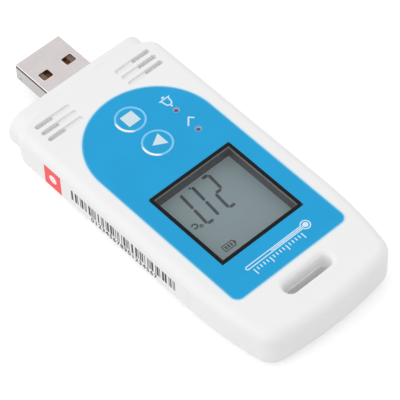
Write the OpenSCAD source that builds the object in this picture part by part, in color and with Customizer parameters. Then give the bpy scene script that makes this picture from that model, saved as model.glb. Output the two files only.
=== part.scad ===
// Temperature data logger with a plug at one end and a lanyard slot at the other.
// It lies on its back: +Z points out of the display, the plug points to -Y.
// Places along the case are measured from the shoulder where the neck starts.

/* [Case] */
// Width across the straight sides
case_w = 38.1; // [36:0.1:42]
// Length from the shoulder to the lanyard end
case_len = 76.8; // [75:0.1:82]
// Thickness of the closed case
case_h = 10.6; // [10.4:0.1:12]
// Radius of the long rounded edges at the front
edge_r = 2.2; // [1.8:0.1:2.4]
// Radius of the long rounded edges at the back
back_r = 3.2; // [2.6:0.1:3.3]
// Radius of the two corners at the lanyard end
corner_r = 4.6; // [4.2:0.1:5]
// Thickness of the side walls
wall = 1.4; // [1.2:0.1:1.6]
// Thickness of the front wall
roof = 1.5; // [1.3:0.1:1.6]
// Thickness of the back wall
base = 1.4; // [1.3:0.1:1.5]
// Depth of the seam between the two shells, below the front
seam_deep = 4.1; // [3.8:0.1:4.2]
// Length of the part whose sides bow inwards
bow_len = 22.6; // [21:0.1:23]
// Radius of the bowed sides
bow_r = 85; // [80:1:120]
// Radius of the bowed lanyard end
end_r = 85; // [75:1:120]
// Thickness of the tongue that closes the seam
tongue_t = 0.6; // [0.5:0.05:0.7]
// Height of that tongue
tongue_h = 0.7; // [0.5:0.1:0.8]

/* [Neck] */
// Length of the neck beyond the shoulder
neck_len = 2.35; // [1.8:0.05:3]
// How far the neck's sides lie inside the case's sides
neck_inset = 1.15; // [1:0.05:1.6]
// How far the neck's faces lie inside the case's faces
neck_drop = 0.7; // [0.5:0.05:0.8]
// Radius of the neck's long edges
neck_r = 4; // [3:0.1:4.2]
// Width of each swept part of the shoulder
sweep_w = 3.55; // [3:0.05:4.5]
// How far the shoulder's corners are swept back
shoulder_sweep = 1.4; // [0.8:0.1:2]
// Radius of the shoulder's corners
shoulder_r = 3.6; // [3.4:0.1:4]

/* [Lanyard slot] */
// Length of the slot
slot_len = 12.2; // [10:0.1:13]
// Width of the slot
slot_w = 3.2; // [2.8:0.1:3.6]
// Distance of the slot's centre from the lanyard end
slot_back = 8.7; // [8.4:0.1:9]
// How much narrower the slot is below the seam, each way
slot_step = 0.15; // [0.05:0.05:0.25]
// Radius of the slot's rounded front rim
slot_rim = 1; // [0.6:0.1:1.2]
// Radius of the slot's rounded back rim
slot_back_rim = 0.6; // [0.4:0.1:0.8]

/* [Vents] */
// Slots in each group
vents = 3; // [2:1:3]
// Distance between slots
vent_pitch = 2.1; // [1.9:0.05:2.2]
// Width of a slot
vent_w = 1.1; // [0.8:0.05:1.2]
// Place of the slot nearest the shoulder
vent_y = 3.8; // [3.6:0.1:3.9]
// Inner end of a slot, from the middle of the case
vent_from = 6.3; // [5.5:0.1:7]
// Distance of its outer end from the side of the case
vent_edge = 3.55; // [3.2:0.05:4.5]
// Depth of the blind part
vent_deep = 0.45; // [0.3:0.05:1]

/* [Printed sheet] */
// Distance of the sheet from the sides of the case
sheet_edge = 3.9; // [3.5:0.1:4.5]
// Place of its round end
sheet_from = 8.3; // [8.2:0.1:9]
// Distance of its square end from the lanyard end
sheet_back = 12.6; // [12.2:0.1:13.3]
// Radius of its square end's corners
sheet_r = 2; // [1:0.1:3]
// Thickness of the sheet
sheet_t = 0.25; // [0.2:0.05:0.35]

/* [Window and display] */
// Width of the window
window_w = 21.8; // [21:0.1:22]
// Length of the window
window_len = 22; // [21:0.1:22.2]
// Place of the window's centre
window_y = 44.5; // [44.3:0.1:44.7]
// Thickness of the window
window_t = 0.6; // [0.5:0.05:0.9]
// Width of the black border
border = 0.75; // [0.6:0.05:0.9]
// Thickness of the black border
border_t = 0.15; // [0.1:0.05:0.2]
// Wall of the display frame round the opening
collar_t = 0.4; // [0.3:0.05:0.45]
// Depth of the display below the front face
display_deep = 3.1; // [2.9:0.05:3.3]
// Width of the front glass
glass_w = 22.4; // [22:0.1:22.6]
// Length of the front glass
glass_len = 24; // [23.6:0.1:24.4]
// Thickness of each glass
glass_t = 0.7; // [0.5:0.05:0.75]
// Width of the contact ledge at the end of the front glass
ledge = 2.6; // [2.2:0.1:2.8]
// Wall of the display frame round the glass
skirt_t = 1.2; // [1:0.1:1.3]

/* [Buttons and lamps] */
// Radius of a button's hole
button_hole_r = 3.5; // [3.2:0.05:3.6]
// Place of the buttons across the case
button_x = -0.3; // [-0.5:0.1:0.5]
// Place of the stop button
stop_y = 15.3; // [15.1:0.1:15.4]
// Place of the start button
start_y = 23.7; // [23.6:0.1:24]
// Travel of a button
travel = 0.3; // [0.2:0.05:0.35]
// Radius of the raised rim's bead
bead_r = 0.23; // [0.15:0.01:0.25]
// Radius of a button's retaining flange
flange_r = 4; // [3.9:0.05:4.1]
// Thickness of that flange
flange_t = 0.6; // [0.5:0.05:0.7]
// Radius of a button's stem
stem_r = 1; // [0.8:0.05:1.2]
// Place of the lamps across the case
lamp_x = -8.8; // [-9.2:0.1:-8.4]
// Place of the alarm lamp
alarm_y = 19.9; // [19.7:0.1:20.2]
// Place of the ok lamp
ok_y = 26.7; // [26.4:0.1:26.8]
// Radius of a lamp's hole
lamp_hole_r = 0.65; // [0.5:0.05:0.8]

/* [Plug] */
// Width of the plug
plug_w = 12; // [11.9:0.1:12.1]
// Height of the plug
plug_h = 4.5; // [4.4:0.1:4.6]
// Length of the plug outside the neck
plug_out = 12.1; // [11.8:0.1:14]
// Length of the plug behind the shoulder
plug_in = 4.4; // [4:0.1:5]
// Thickness of the plug's sheet
plug_t = 0.3; // [0.25:0.05:0.35]
// Radius of the plug's long edges
plug_r = 0.35; // [0.3:0.05:0.6]
// Width of a square window in the plug
hole_w = 2.35; // [2:0.05:2.5]
// Length of a square window
hole_len = 1.95; // [1.8:0.05:2.3]
// Distance of the windows' centres from the middle
hole_x = 3.15; // [2.9:0.05:3.3]
// Distance of the windows' centres from the tip
hole_back = 6.5; // [5.5:0.1:7]

/* [Board] */
// Gap between the board and the side walls
board_gap = 1.25; // [0.5:0.05:1.5]
// Thickness of the board
board_t = 1; // [0.8:0.1:1]
// Place of the board's plug end
board_from = 2.3; // [2.1:0.1:2.6]
// Distance of the board's other end from the lanyard end
board_back = 12.2; // [12.1:0.1:12.8]
// Side of a switch's square body
switch_w = 6; // [5.5:0.1:6.5]
// Height of a switch's body
switch_h = 1.5; // [1.4:0.05:1.6]
// Height of a switch with its plunger
switch_full_h = 2; // [1.95:0.05:2.1]
// Radius of a plunger
plunger_r = 0.95; // [0.8:0.05:1]
// Side of the microcontroller
chip_w = 7; // [5:0.5:8]
// Side of the climate sensor
sensor_w = 3; // [2.5:0.1:3.5]

/* [Battery] */
// Radius of the cell
cell_r = 10; // [9.5:0.1:10]
// Thickness of the contact pad over the cell
pad_t = 0.15; // [0.1:0.05:0.3]
// Radius of the lid in the back
lid_r = 12; // [11.5:0.1:12.5]
// Thickness of the lid
lid_t = 1.2; // [1.1:0.05:1.25]
// Length of the coin slot
coin_len = 14; // [10:0.5:16]
// Width of the coin slot
coin_w = 1.8; // [1.4:0.1:2.2]
// Depth of the coin slot
coin_deep = 0.6; // [0.4:0.05:0.7]
// Reach of a bayonet lug beyond the lid
lug_reach = 0.9; // [0.6:0.1:1.1]
// Turn from locked to open, in degrees
lid_turn = 40; // [30:1:60]

/* [Side label] */
// Place of the label's first end
label_from = 10.4; // [9:0.1:12]
// Place of the label's last end
label_to = 54; // [50:0.1:54]
// Lower edge of the label
label_low = 2.4; // [2.4:0.1:3]
// Distance of its upper edge from the front
label_top = 2.5; // [2.4:0.1:3]
// Depth of the recess that holds it
label_deep = 0.12; // [0.08:0.01:0.2]
// Thickness of the label
label_t = 0.1; // [0.05:0.01:0.12]

/* [Hidden] */
$fa = 2;
$fs = 0.2;

// Overrun of every cut past the face it leaves
over = 1;
// Gap round a piece that drops into its seat
seat_gap = 0.05;
// Radial gap of a piece that slides or turns
run_gap = 0.05;
// Gap round the plug in the neck and the board
plug_gap = 0.1;
// Gap between a screw's shank and the plastic it bites
bite_gap = 0.02;

// Heights
roof_z = case_h - roof;
seam_z = case_h - seam_deep;
plug_z = case_h / 2;
glass_z = case_h - display_deep;
reflector_t = 0.3;
board_top = glass_z - 2 * glass_t - reflector_t;
board_low = board_top - board_t;
neck_h = case_h - 2 * neck_drop;
neck_w = case_w - 2 * neck_inset;
plug_low = plug_z - plug_h / 2;
plug_top = plug_z + plug_h / 2;
sheet_z = case_h - sheet_t;
window_z = case_h - window_t;
gasket_z = window_z - border_t;

// Places along and across the case
bow_start = case_len - bow_len;
slot_y = case_len - slot_back;
sheet_to = case_len - sheet_back;
sheet_w = case_w - 2 * sheet_edge;
board_to = case_len - board_back;
board_half = case_w / 2 - wall - board_gap;
vent_to = case_w / 2 - vent_edge;
vent_through = (vent_from + vent_to) / 2;
label_high = case_h - label_top;

// The part's middle lies at Y zero
case_mid = (case_len - neck_len - plug_out) / 2;

// Centres of the arcs at the lanyard end
bow_c = [case_w / 2 - bow_r, bow_start];
end_c = [0, case_len - end_r];
arc_gap = norm(end_c - bow_c);
arc_dir = (end_c - bow_c) / arc_gap;
arc_along = (pow(bow_r - corner_r, 2) - pow(end_r - corner_r, 2) + pow(arc_gap, 2)) / (2 * arc_gap);
arc_aside = sqrt(pow(bow_r - corner_r, 2) - pow(arc_along, 2));
corner_c = bow_c + arc_dir * arc_along + [-arc_dir[1], arc_dir[0]] * arc_aside;
bow_turn = atan2(corner_c[1] - bow_c[1], corner_c[0] - bow_c[0]);
end_turn = atan2(corner_c[1] - end_c[1], corner_c[0] - end_c[0]);
// Sweeps that carry both arcs past the corners
bow_sweep = bow_turn * 7 / 5;
end_sweep = (90 - end_turn) * 2;
// Depth of the swept sides, measured in from the outline
band = 9 / 4 * back_r;
// How far a corner's round form starts outside its neighbours, so that they cross cleanly
cross = 0.02;
// Direction of the swept shoulder, and the centre of its corner
shoulder_x = case_w / 2 - sweep_w;
sweep_turn = atan2(shoulder_sweep, sweep_w);
shoulder_c = [
    case_w / 2 - shoulder_r,
    (shoulder_r + (sweep_w - shoulder_r) * sin(sweep_turn)) / cos(sweep_turn)
];

// Case screws, in pairs across the case: [place across, place along]
screw_r = 0.95;
screw_head_r = 1.7;
screw_head_h = 1.1;
screw_sunk = 0.5;
boss_r = 2;
boss_plug_side = [case_w / 2 - wall - boss_r - seat_gap * 5, 12.6];
boss_in = 7.05;
boss_beyond = 1.6;
boss_slot_side = [case_w / 2 - boss_in, slot_y + boss_beyond];
screw_cover = 0.6;
screw_tip = roof_z - screw_cover;

// Posts that carry the board
post_r = 1.8;
post_in = 3.2;
post_back = 3.8;
post_x = board_half - post_in;
post_plug_y = 28.6;
post_slot_y = board_to - post_back;
pin_r = 0.9;
pin_h = 0.4;
board_screw_r = 0.8;
board_screw_head_r = 1.6;
board_screw_head_h = 0.8;
board_screw_len = 3.2;

// Battery lid and its bayonet
lid_z = 0.1;
lip_t = 0.6;
lug_z = lip_t + 0.1;
lug_turn = 24;
lug_gap = 0.15;
cell_gap = 0.15;
cell_z = lid_z + lid_t + cell_gap;
cell_h = board_low - pad_t - cell_z;
ring_t = 0.8;
ring_h = 1.3;

// Cap of a button
cap_r = button_hole_r - run_gap;
plunger_in = 0.6;

function unit(turn) = [cos(turn), sin(turn)];

module placed() {
    translate([0, -case_mid, 0]) children();
}

// Rounded rectangle, centred
module round_rect(w, h, r) {
    square([w - 2 * r, h], center = true);
    square([w, h - 2 * r], center = true);
    for (sx = [-1, 1], sy = [-1, 1])
        translate([sx * (w / 2 - r), sy * (h / 2 - r)]) circle(r);
}

// Slot outline with round ends, along X
module slot_plan(len, w) {
    square([len - w, w], center = true);
    for (s = [-1, 1])
        translate([s * (len - w) / 2, 0]) circle(w / 2);
}

// Outline of the case seen from above, set in by d
module case_plan(d) {
    difference() {
        union() {
            translate([-case_w / 2 + d, d]) square([case_w - 2 * d, bow_start - d]);
            for (s = [0, 1])
                mirror([s, 0]) intersection() {
                    translate([0, bow_start]) square([case_w, case_len]);
                    translate(bow_c) circle(bow_r - d);
                }
        }
        difference() {
            translate([-case_w, bow_start]) square([2 * case_w, 2 * case_len]);
            translate(end_c) circle(end_r - d);
        }
        for (s = [0, 1])
            mirror([s, 0]) {
                corner_cut(corner_c, bow_turn, end_turn, corner_r, d);
                corner_cut(shoulder_c, sweep_turn - 90, 0, shoulder_r, d);
                translate([shoulder_x, 0]) rotate(sweep_turn - 90)
                    translate([-d, -case_w / 2]) square([case_w, case_w]);
            }
    }
}

// Wedge between two directions, beside a corner's centre
module wedge(turn_a, turn_b) {
    a = band * unit(turn_a);
    b = band * unit(turn_b);
    polygon([[0, 0], a, a + b, b]);
}

// What lies outside a rounded corner of the outline, set in by d
module corner_cut(centre, turn_a, turn_b, r, d) {
    translate(centre) difference() {
        wedge(turn_a, turn_b);
        circle(r + cross - d);
    }
}

// Half section of the case from a place inside it to its outer face at r
module edge_profile(from, r) {
    translate([from, 0]) square([r - back_r - from, case_h - edge_r]);
    translate([from, back_r]) square([r - edge_r - from, case_h - back_r]);
    translate([from, back_r]) square([r - from, case_h - back_r - edge_r]);
    translate([r - edge_r, case_h - edge_r]) circle(edge_r);
    translate([r - back_r, back_r]) circle(back_r);
}

// Section of a cut that leaves rounded edges with the outer face at r
module edge_cut_profile(r) {
    difference() {
        translate([r - back_r, -over]) square([back_r + band, case_h + 2 * over]);
        translate([r - 2 * back_r, back_r]) square([2 * back_r - edge_r, case_h + over]);
        translate([r - 2 * back_r, back_r]) square([2 * back_r, case_h - back_r - edge_r]);
        translate([r - edge_r, case_h - edge_r]) circle(edge_r);
        translate([r - back_r, back_r]) circle(back_r);
    }
}

// Half section of a corner's round form, raised a little past the case's faces
module corner_profile(r) {
    translate([0, -over]) square([r - back_r, case_h + 2 * over]);
    translate([0, back_r - cross]) square([r - edge_r, case_h + over]);
    translate([0, back_r - cross]) square([r, case_h - back_r - edge_r + 2 * cross]);
    intersection() {
        translate([0, -over]) square([r, case_h + 2 * over]);
        union() {
            translate([r - edge_r, case_h - edge_r + cross]) circle(edge_r);
            translate([r - back_r, back_r - cross]) circle(back_r);
        }
    }
}

// Cut that rounds a corner of the case in plan and at its edges
module corner_tool(centre, turn_a, turn_b, r) {
    translate([centre[0], centre[1], 0]) difference() {
        translate([0, 0, -over / 2]) linear_extrude(case_h + over) wedge(turn_a, turn_b);
        rotate_extrude() corner_profile(r + cross);
    }
}

// Middle of the bowed part, its outline hidden inside the swept sides
module middle() {
    inset = 9 / 8 * back_r;
    half = [
        [0, bow_start - inset],
        [case_w / 2 - inset, bow_start - inset],
        [case_w / 2 - inset, bow_start],
        bow_c + (bow_r - inset * 3 / 2) * unit(bow_sweep),
        [0, case_len + inset]
    ];
    linear_extrude(case_h) for (s = [0, 1])
        mirror([s, 0]) polygon(half);
}

// The closed outer form of the case, without its neck
module case_form() {
    difference() {
        union() {
            translate([0, bow_start, 0]) rotate([90, 0, 0]) linear_extrude(bow_start) {
                edge_profile(0, case_w / 2);
                mirror([1, 0]) edge_profile(0, case_w / 2);
            }
            middle();
            for (s = [0, 1])
                mirror([s, 0, 0]) translate([bow_c[0], bow_c[1], 0])
                    rotate_extrude(angle = bow_sweep) edge_profile(bow_r - band, bow_r);
        }
        translate([end_c[0], end_c[1], 0]) rotate([0, 0, 90 - end_sweep])
            rotate_extrude(angle = 2 * end_sweep) edge_cut_profile(end_r);
        for (s = [0, 1])
            mirror([s, 0, 0]) {
                shoulder_cut();
                corner_tool(corner_c, bow_turn, end_turn, corner_r);
                corner_tool(shoulder_c, sweep_turn - 90, 0, shoulder_r);
            }
    }
}

// Cut along a swept shoulder, which leaves its edges rounded
module shoulder_cut() {
    outward = sweep_w / cos(sweep_turn) + over;
    inward = back_r / sin(sweep_turn) + over;
    translate([shoulder_x, 0, 0]) rotate([0, 0, sweep_turn - 90]) translate([0, outward, 0])
        rotate([90, 0, 0]) linear_extrude(outward + inward) edge_cut_profile(0);
}

// The case with its neck
module case_outside() {
    case_form();
    translate([0, -neck_len, case_h / 2])
        rotate([-90, 0, 0]) linear_extrude(neck_len + wall) round_rect(neck_w, neck_h, neck_r);
}

// Everything above or below a height
module slab(low, high) {
    translate([-case_w, -case_len, low]) cube([2 * case_w, 3 * case_len, high - low]);
}

module at_bosses() {
    for (p = [boss_plug_side, boss_slot_side], s = [-1, 1])
        translate([s * p[0], p[1]]) children();
}

module at_posts() {
    for (y = [post_plug_y, post_slot_y], s = [-1, 1])
        translate([s * post_x, y]) children();
}

// Tool that opens the lanyard slot with a rounded rim on a face at height z
module slot_rim_tool(z, rim, step, up) {
    half = slot_w / 2 - step;
    span = slot_len - slot_w;
    translate([0, slot_y, z]) mirror([0, 0, up ? 0 : 1]) {
        for (s = [-1, 1])
            translate([s * span / 2, 0, 0]) rotate_extrude() rim_profile(half, rim);
        translate([-span / 2, 0, 0]) rotate([90, 0, 90]) linear_extrude(span) {
            rim_profile(half, rim);
            mirror([1, 0]) rim_profile(half, rim);
        }
    }
}

module rim_profile(half, rim) {
    difference() {
        translate([0, -rim]) square([half + rim, rim + over]);
        translate([half + rim, -rim]) circle(rim);
    }
}

// The slot through both shells, narrower by step each way
module slot_bore(step) {
    translate([0, slot_y, -over]) linear_extrude(case_h + 2 * over)
        slot_plan(slot_len - 2 * step, slot_w - 2 * step);
    slot_rim_tool(case_h, slot_rim, step, true);
    slot_rim_tool(0, slot_back_rim, step, false);
}

// Hole in the neck and its wall for the plug
module plug_bore() {
    translate([0, -neck_len - over, plug_z])
        rotate([-90, 0, 0]) linear_extrude(neck_len + wall + 2 * over)
            round_rect(plug_w + 2 * plug_gap, plug_h + 2 * plug_gap, plug_r + plug_gap);
}

module label_seat() {
    gap = seat_gap;
    translate([case_w / 2 - label_deep, label_from - gap, label_low - gap])
        cube([label_deep + over, label_to - label_from + 2 * gap, label_high - label_low + 2 * gap]);
}

// Outline that the shells' walls, bosses and slot tube leave free
module hollow_plan() {
    difference() {
        case_plan(wall);
        translate([0, slot_y]) slot_plan(slot_len + 2 * wall, slot_w + 2 * wall);
        at_bosses() circle(boss_r);
    }
}

// The printed sheet's outline, grown by gap
module sheet_plan(gap) {
    half = sheet_w / 2;
    mid_y = sheet_from + half;
    translate([0, mid_y]) circle(half + gap);
    translate([-half - gap, mid_y]) square([2 * (half + gap), sheet_to - sheet_r - mid_y]);
    translate([-half + sheet_r, mid_y]) square([sheet_w - 2 * sheet_r, sheet_to + gap - mid_y]);
    for (s = [-1, 1])
        translate([s * (half - sheet_r), sheet_to - sheet_r]) circle(sheet_r + gap);
}

module vent_cuts() {
    for (s = [-1, 1], k = [0 : vents - 1])
        translate([0, vent_y + k * vent_pitch, 0]) {
            translate([s * (vent_from + vent_to) / 2, 0, case_h - vent_deep])
                linear_extrude(vent_deep + over) slot_plan(vent_to - vent_from, vent_w);
            translate([s * (vent_through + vent_to) / 2, 0, roof_z - over])
                linear_extrude(roof + 2 * over) slot_plan(vent_to - vent_through, vent_w);
        }
}

module front_shell() {
    color("white") placed() difference() {
        intersection() {
            case_outside();
            slab(seam_z, case_h + over);
        }
        translate([0, 0, seam_z - over]) linear_extrude(roof_z - seam_z + over) hollow_plan();
        // Rebate for the tongue
        translate([0, 0, seam_z - over])
            linear_extrude(tongue_h + seat_gap + over) difference() {
                case_plan(wall - tongue_t - seat_gap);
                case_plan(wall + seat_gap);
            }
        translate([0, 0, sheet_z]) linear_extrude(sheet_t + over) sheet_plan(seat_gap);
        translate([0, window_y, gasket_z]) linear_extrude(roof)
            square([window_w + 2 * seat_gap, window_len + 2 * seat_gap], center = true);
        translate([0, window_y, seam_z]) linear_extrude(case_h)
            square([
                window_w - 2 * border + 2 * collar_t + 2 * seat_gap,
                window_len - 2 * border + 2 * collar_t + 2 * seat_gap
            ], center = true);
        for (y = [stop_y, start_y])
            translate([button_x, y, roof_z - over]) cylinder(r = button_hole_r, h = roof + 2 * over);
        for (y = [alarm_y, ok_y])
            translate([lamp_x, y, roof_z - over]) cylinder(r = lamp_hole_r, h = roof + 2 * over);
        vent_cuts();
        slot_bore(0);
        plug_bore();
        label_seat();
        at_bosses() translate([0, 0, seam_z - over])
            cylinder(r = screw_r + bite_gap, h = screw_tip - seam_z + over);
    }
}

module back_shell() {
    color("white") placed() {
        difference() {
            intersection() {
                case_outside();
                slab(-over, seam_z + tongue_h);
            }
            // What lies outside the tongue above the seam
            translate([0, 0, seam_z]) linear_extrude(tongue_h + over) difference() {
                translate([-case_w, -case_len]) square([2 * case_w, 3 * case_len]);
                case_plan(wall - tongue_t);
            }
            translate([0, 0, base]) linear_extrude(board_low - base) difference() {
                hollow_plan();
                at_posts() circle(post_r);
            }
            translate([0, 0, board_low]) linear_extrude(seam_z - board_low) hollow_plan();
            translate([0, 0, seam_z]) linear_extrude(tongue_h + over) case_plan(wall);
            // Opening, lug race and lug entries of the battery lid
            translate([0, window_y, -over]) cylinder(r = lid_r + run_gap, h = base + 2 * over);
            translate([0, window_y, lip_t])
                cylinder(r = lid_r + lug_reach + 2 * lug_gap, h = base - lip_t + over);
            translate([0, window_y, -over]) for (a = [0, 180])
                rotate([0, 0, a - lid_turn - lug_turn / 2])
                    rotate_extrude(angle = lug_turn)
                        square([lid_r + lug_reach + lug_gap, base / 2 + lip_t / 2 + over]);
            slot_bore(slot_step);
            plug_bore();
            label_seat();
            at_bosses() {
                translate([0, 0, -over]) cylinder(r = screw_r + seat_gap, h = seam_z + 2 * over);
                translate([0, 0, -over])
                    cylinder(r = screw_head_r + 2 * seat_gap, h = screw_sunk + screw_head_h + over);
            }
            for (y = [post_plug_y, post_slot_y])
                translate([-post_x, y, board_top - board_screw_len])
                    cylinder(r = board_screw_r + bite_gap, h = board_screw_len);
        }
        for (y = [post_plug_y, post_slot_y])
            translate([post_x, y, base]) cylinder(r = pin_r, h = board_top + pin_h - base);
    }
}

module face_overlay() {
    color("deepskyblue") placed() translate([0, 0, sheet_z]) linear_extrude(sheet_t) difference() {
        sheet_plan(0);
        translate([0, window_y])
            square([window_w + 2 * seat_gap, window_len + 2 * seat_gap], center = true);
        for (y = [stop_y, start_y]) translate([button_x, y]) circle(button_hole_r);
        for (y = [alarm_y, ok_y]) translate([lamp_x, y]) circle(lamp_hole_r);
    }
}

module display_window() {
    color("lightcyan", 0.4) placed() translate([0, window_y, window_z]) linear_extrude(window_t)
        square([window_w, window_len], center = true);
}

module window_gasket() {
    color("black") placed() translate([0, window_y, gasket_z]) linear_extrude(border_t) difference() {
        square([window_w, window_len], center = true);
        square([window_w - 2 * border, window_len - 2 * border], center = true);
    }
}

module display_frame() {
    in_w = window_w - 2 * border;
    in_len = window_len - 2 * border;
    out_w = glass_w + 2 * skirt_t;
    out_len = glass_len + 2 * skirt_t;
    color("dimgray") placed() translate([0, window_y, 0]) difference() {
        union() {
            translate([0, 0, board_top]) linear_extrude(roof_z - board_top)
                square([out_w, out_len], center = true);
            translate([0, 0, glass_z]) linear_extrude(gasket_z - glass_z)
                square([in_w + 2 * collar_t, in_len + 2 * collar_t], center = true);
        }
        translate([0, 0, glass_z - over]) linear_extrude(case_h)
            square([in_w - 2 * seat_gap, in_len - 2 * seat_gap], center = true);
        translate([0, 0, board_top - over]) linear_extrude(glass_z - board_top + over)
            square([glass_w + 2 * seat_gap, glass_len + 2 * seat_gap], center = true);
    }
}

module lcd_front_glass() {
    color("lightsteelblue") placed() translate([0, window_y, glass_z - glass_t]) linear_extrude(glass_t)
        square([glass_w, glass_len], center = true);
}

module rear_plate(z, t) {
    placed() translate([-glass_w / 2, window_y - glass_len / 2, z])
        cube([glass_w, glass_len - ledge, t]);
}

module lcd_rear_glass() {
    color("slategray") rear_plate(glass_z - 2 * glass_t, glass_t);
}

module lcd_reflector() {
    color("silver") rear_plate(board_top, reflector_t);
}

module elastomer_strip() {
    len = glass_w - 2 * skirt_t;
    color("dimgray") placed()
        translate([-len / 2, window_y + glass_len / 2 - ledge + ledge / 8, board_top])
            cube([len, ledge * 3 / 4, glass_z - glass_t - board_top]);
}

module circuit_board() {
    color("darkgreen") placed() translate([0, 0, board_low]) linear_extrude(board_t) difference() {
        translate([-board_half, board_from]) square([2 * board_half, board_to - board_from]);
        translate([-plug_w / 2 - plug_gap, 0]) square([plug_w + 2 * plug_gap, plug_in + plug_gap]);
        at_bosses() circle(boss_r + 2 * seat_gap);
        for (y = [post_plug_y, post_slot_y]) {
            translate([-post_x, y]) circle(board_screw_r + seat_gap);
            translate([post_x, y]) circle(pin_r + seat_gap);
        }
    }
}

// Cap, raised rim, retaining flange and stem of a button
module button_at(y) {
    low = roof_z - flange_t;
    stem_low = board_top + switch_full_h;
    placed() translate([button_x, y, 0]) {
        translate([0, 0, low]) cylinder(r = cap_r, h = case_h - low);
        translate([0, 0, low]) cylinder(r = flange_r, h = flange_t);
        translate([0, 0, stem_low]) cylinder(r = stem_r, h = roof_z - stem_low);
        translate([0, 0, case_h - bead_r / 2]) rotate_extrude()
            translate([cap_r - bead_r, 0]) circle(bead_r);
    }
}

module stop_button() {
    color("deepskyblue") button_at(stop_y);
}

module start_button() {
    color("deepskyblue") button_at(start_y);
}

module plunger_at(y) {
    placed() translate([button_x, y, board_top + switch_h - plunger_in + travel / 2])
        cylinder(r = plunger_r, h = switch_full_h - switch_h + plunger_in - travel / 2);
}

module stop_plunger() {
    color("black") plunger_at(stop_y);
}

module start_plunger() {
    color("black") plunger_at(start_y);
}

module switch_at(y) {
    rim = switch_w / 12;
    placed() translate([button_x, y, board_top]) difference() {
        linear_extrude(switch_h) round_rect(switch_w, switch_w, rim);
        translate([0, 0, switch_h - plunger_in - travel])
            cylinder(r = plunger_r + run_gap, h = plunger_in + travel + over);
    }
}

module stop_switch() {
    color("silver") switch_at(stop_y);
}

module start_switch() {
    color("silver") switch_at(start_y);
}

// Lamp chips and the light pipes over them
led_w = 1.6;
led_d = 0.8;
led_h = 0.7;
pipe_flange_r = 1.1;
pipe_flange_t = 0.5;
pipe_sunk = 0.1;

module light_pipe_at(y) {
    placed() translate([lamp_x, y, 0]) {
        translate([0, 0, board_top + led_h])
            cylinder(r = lamp_hole_r - seat_gap, h = case_h - pipe_sunk - board_top - led_h);
        translate([0, 0, roof_z - pipe_flange_t]) cylinder(r = pipe_flange_r, h = pipe_flange_t);
    }
}

module alarm_light_pipe() {
    color("darkred") light_pipe_at(alarm_y);
}

module ok_light_pipe() {
    color("darkred") light_pipe_at(ok_y);
}

module led_at(y) {
    placed() translate([lamp_x - led_w / 2, y - led_d / 2, board_top]) cube([led_w, led_d, led_h]);
}

module alarm_led() {
    color("red") led_at(alarm_y);
}

module ok_led() {
    color("green") led_at(ok_y);
}

// Parts on the board beside the buttons
chip_x = board_half * 3 / 5;
chip_y = 20.4;
chip_h = 1;
crystal_w = 3.2;
crystal_d = 1.5;
crystal_h = 0.8;
crystal_y = chip_y + chip_w / 2 + 3 * crystal_d;

module microcontroller() {
    color("black") placed() translate([chip_x - chip_w / 2, chip_y - chip_w / 2, board_top])
        cube([chip_w, chip_w, chip_h]);
}

module crystal() {
    color("silver") placed() translate([chip_x, crystal_y, board_top]) linear_extrude(crystal_h)
        round_rect(crystal_w, crystal_d, crystal_d / 5);
}

// The sensor lies under the open part of the vents on the +X side
sensor_h = 1;
sensor_x = (vent_through + vent_to) / 2;
sensor_y = vent_y + (vents - 1) * vent_pitch / 2;
sensor_port_r = 0.4;

module climate_sensor() {
    color("dimgray") placed() translate([sensor_x, sensor_y, board_top]) difference() {
        translate([-sensor_w / 2, -sensor_w / 2, 0]) cube([sensor_w, sensor_w, sensor_h]);
        translate([0, 0, sensor_h / 2]) cylinder(r = sensor_port_r, h = sensor_h);
    }
}

// Groove under the edge of the plug's top sheet, and the small dimple beside it
groove_h = 0.2;
groove_deep = 0.15;
dimple_r = 0.28;
dimple_deep = 0.12;
dimple_back = 1.3;
hole_r = 0.3;

module usb_shell() {
    len = plug_out + neck_len + plug_in;
    in_w = plug_w - 2 * plug_t;
    in_h = plug_h - 2 * plug_t;
    color("silver") placed() translate([0, -neck_len - plug_out, plug_z]) difference() {
        rotate([-90, 0, 0]) linear_extrude(len) round_rect(plug_w, plug_h, plug_r);
        translate([0, -over, 0]) rotate([-90, 0, 0]) linear_extrude(len + 2 * over)
            round_rect(in_w, in_h, plug_r / 4);
        for (s = [-1, 1])
            translate([s * hole_x, hole_back, -plug_h / 2 - over])
                linear_extrude(plug_h + 2 * over) round_rect(hole_w, hole_len, hole_r);
        for (s = [-1, 1])
            translate([s * (plug_w / 2 + over - groove_deep) - over, -over, plug_h / 2 - plug_r - groove_h])
                cube([2 * over, len + 2 * over, groove_h]);
        for (s = [-1, 1])
            translate([s * (plug_w / 2 - dimple_deep), dimple_back, -plug_h / 4])
                rotate([0, s * 90, 0]) cylinder(r = dimple_r, h = over);
    }
}

// Tongue inside the plug, with a shallow trough between its shoulders
contact_t = 0.2;
tongue_back = 1.2;
trough_half = 3.2;
tongue_low = board_top + contact_t;
tongue_top = plug_top - plug_t;
trough_deep = (tongue_top - tongue_low) / 2;

module usb_insulator() {
    from = -neck_len - plug_out + tongue_back;
    full = plug_in - from;
    color("saddlebrown") placed() difference() {
        union() {
            translate([-plug_w / 2 + plug_t + seat_gap, from, tongue_low])
                cube([plug_w - 2 * plug_t - 2 * seat_gap, full, tongue_top - tongue_low]);
            translate([-plug_w / 2 + 2 * plug_t, 0, plug_low + plug_t])
                cube([plug_w - 4 * plug_t, plug_in, tongue_top - plug_low - plug_t]);
        }
        translate([-trough_half, from + tongue_back, tongue_top - trough_deep])
            cube([2 * trough_half, full - 2 * tongue_back, trough_deep + over]);
        for (x = contact_x)
            translate([x - contact_w / 2, -over, board_top])
                cube([contact_w, plug_in + 2 * over, contact_t]);
    }
}

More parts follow.
